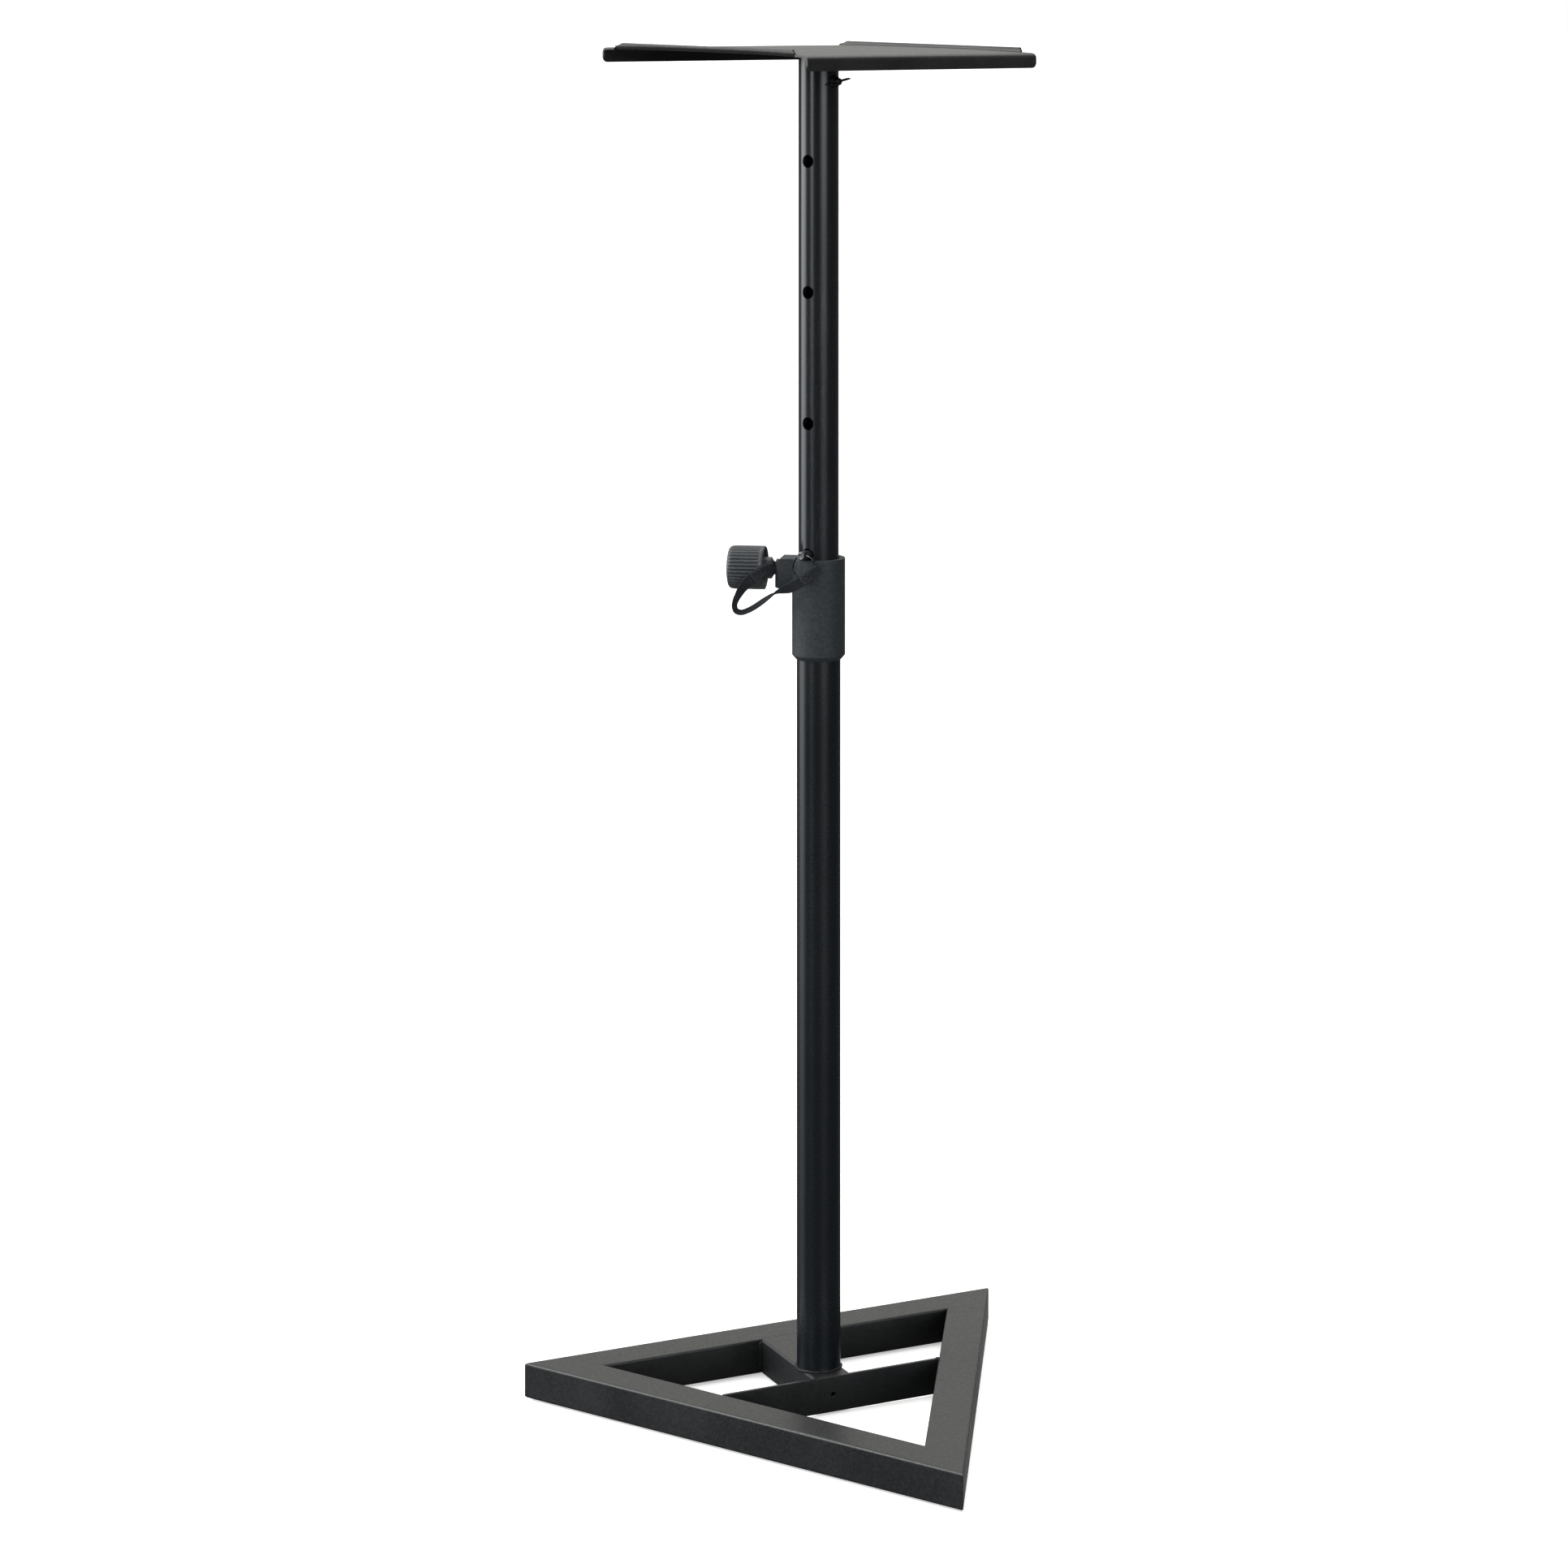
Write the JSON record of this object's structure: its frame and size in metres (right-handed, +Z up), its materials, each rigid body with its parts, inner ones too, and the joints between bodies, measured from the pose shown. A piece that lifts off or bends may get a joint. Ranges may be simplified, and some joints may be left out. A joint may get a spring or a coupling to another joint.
{
  "type": "loudspeaker stand",
  "caption": "Height-adjustable loudspeaker stand with a welded triangular tube base, telescopic pole with clamp knob and locking pin, and a swivelling steel platform.",
  "frame": {"origin": "on the floor, at the centre of the footprint box; the pole axis stands at x = 0, y = +54.3 mm", "axes": "+Z up along the pole, +Y towards the rear bar of the triangular base, whose front corner points along -Y; X along the rear bar"},
  "size_m": [0.4548, 0.4434, 1.1794],
  "materials": {
    "black_painted_steel": "satin black powder coat on welded steel tube",
    "black_tube_gloss": "semi-gloss black enamel on drawn steel tube",
    "charcoal_plastic": "charcoal moulded nylon with a fine spark-eroded grain",
    "knob_plastic": "charcoal moulded nylon, satin, ribbed for grip",
    "bush_plastic": "smooth low-friction acetal",
    "brass_insert": "machined brass, tapped",
    "zinc_steel": "zinc-plated steel, lightly scuffed",
    "black_oxide_steel": "blackened steel screw",
    "black_webbing": "woven polyester webbing with sewn ends",
    "black_rubber": "matt anti-slip rubber"
  },
  "bodies": {
    "stand_base": {"base_rear_bar": "black_painted_steel", "base_front_left_bar": "black_painted_steel", "base_front_right_bar": "black_painted_steel", "base_cross_bar": "black_painted_steel", "base_spine_tube": "black_painted_steel", "foot_pad_front": "black_rubber", "foot_pad_rear_right": "black_rubber", "foot_pad_rear_left": "black_rubber", "lower_tube": "black_tube_gloss", "collar": "charcoal_plastic", "collar_guide_bush": "bush_plastic", "clamp_thread_insert": "brass_insert", "strap": "black_webbing"},
    "upper_pole": {"upper_tube": "black_tube_gloss", "upper_tube_end_plug": "charcoal_plastic", "wing_screw_weld_nut": "black_painted_steel"},
    "platform": {"platform_plate": "black_painted_steel", "platform_spigot": "black_painted_steel"},
    "wing_screw": {"wing_screw": "black_oxide_steel"},
    "clamp_carrier": {"clamp_pad": "bush_plastic"},
    "clamp_knob": {"clamp_knob": "knob_plastic", "clamp_screw": "zinc_steel"},
    "locking_pin": {"locking_pin": "zinc_steel"},
    "pin_ring": {"pin_ring": "zinc_steel"}
  },
  "joints": [
    {"name": "pole_height", "type": "slide", "parent": "stand_base", "child": "upper_pole", "axis": [0, 0, 1], "range_m": [-0.3405, 0.3405]},
    {"name": "platform_swivel", "type": "hinge", "parent": "upper_pole", "child": "platform", "pos_m": [0, 0.05429, 1.1], "axis": [0, 0, 1], "continuous": true},
    {"name": "wing_screw_turn", "type": "hinge", "parent": "upper_pole", "child": "wing_screw", "pos_m": [0.00984, 0.0324, 1.148], "axis": [0.4099, -0.9121, 0], "range_deg": [0, 720]},
    {"name": "clamp_advance", "type": "slide", "parent": "stand_base", "child": "clamp_carrier", "axis": [-0.831, 0.5563, 0], "range_m": [0, 0.003]},
    {"name": "clamp_knob_turn", "type": "hinge", "parent": "clamp_carrier", "child": "clamp_knob", "pos_m": [-0.04986, 0.08767, 0.7243], "axis": [-0.831, 0.5563, 0], "range_deg": [0, 720]},
    {"name": "locking_pin_pull", "type": "slide", "parent": "stand_base", "child": "locking_pin", "axis": [-0.8517, -0.524, 0], "range_m": [0, 0.06], "deforming": ["strap"]},
    {"name": "pin_ring_swing", "type": "hinge", "parent": "locking_pin", "child": "pin_ring", "pos_m": [-0.02198, 0.04077, 0.7391], "axis": [-0.524, 0.8517, 0], "range_deg": [0, 35]}
  ],
  "couplings": [
    {"joint": "clamp_knob_turn", "follows": "clamp_advance", "rad_per_m": 4188.8}
  ]
}
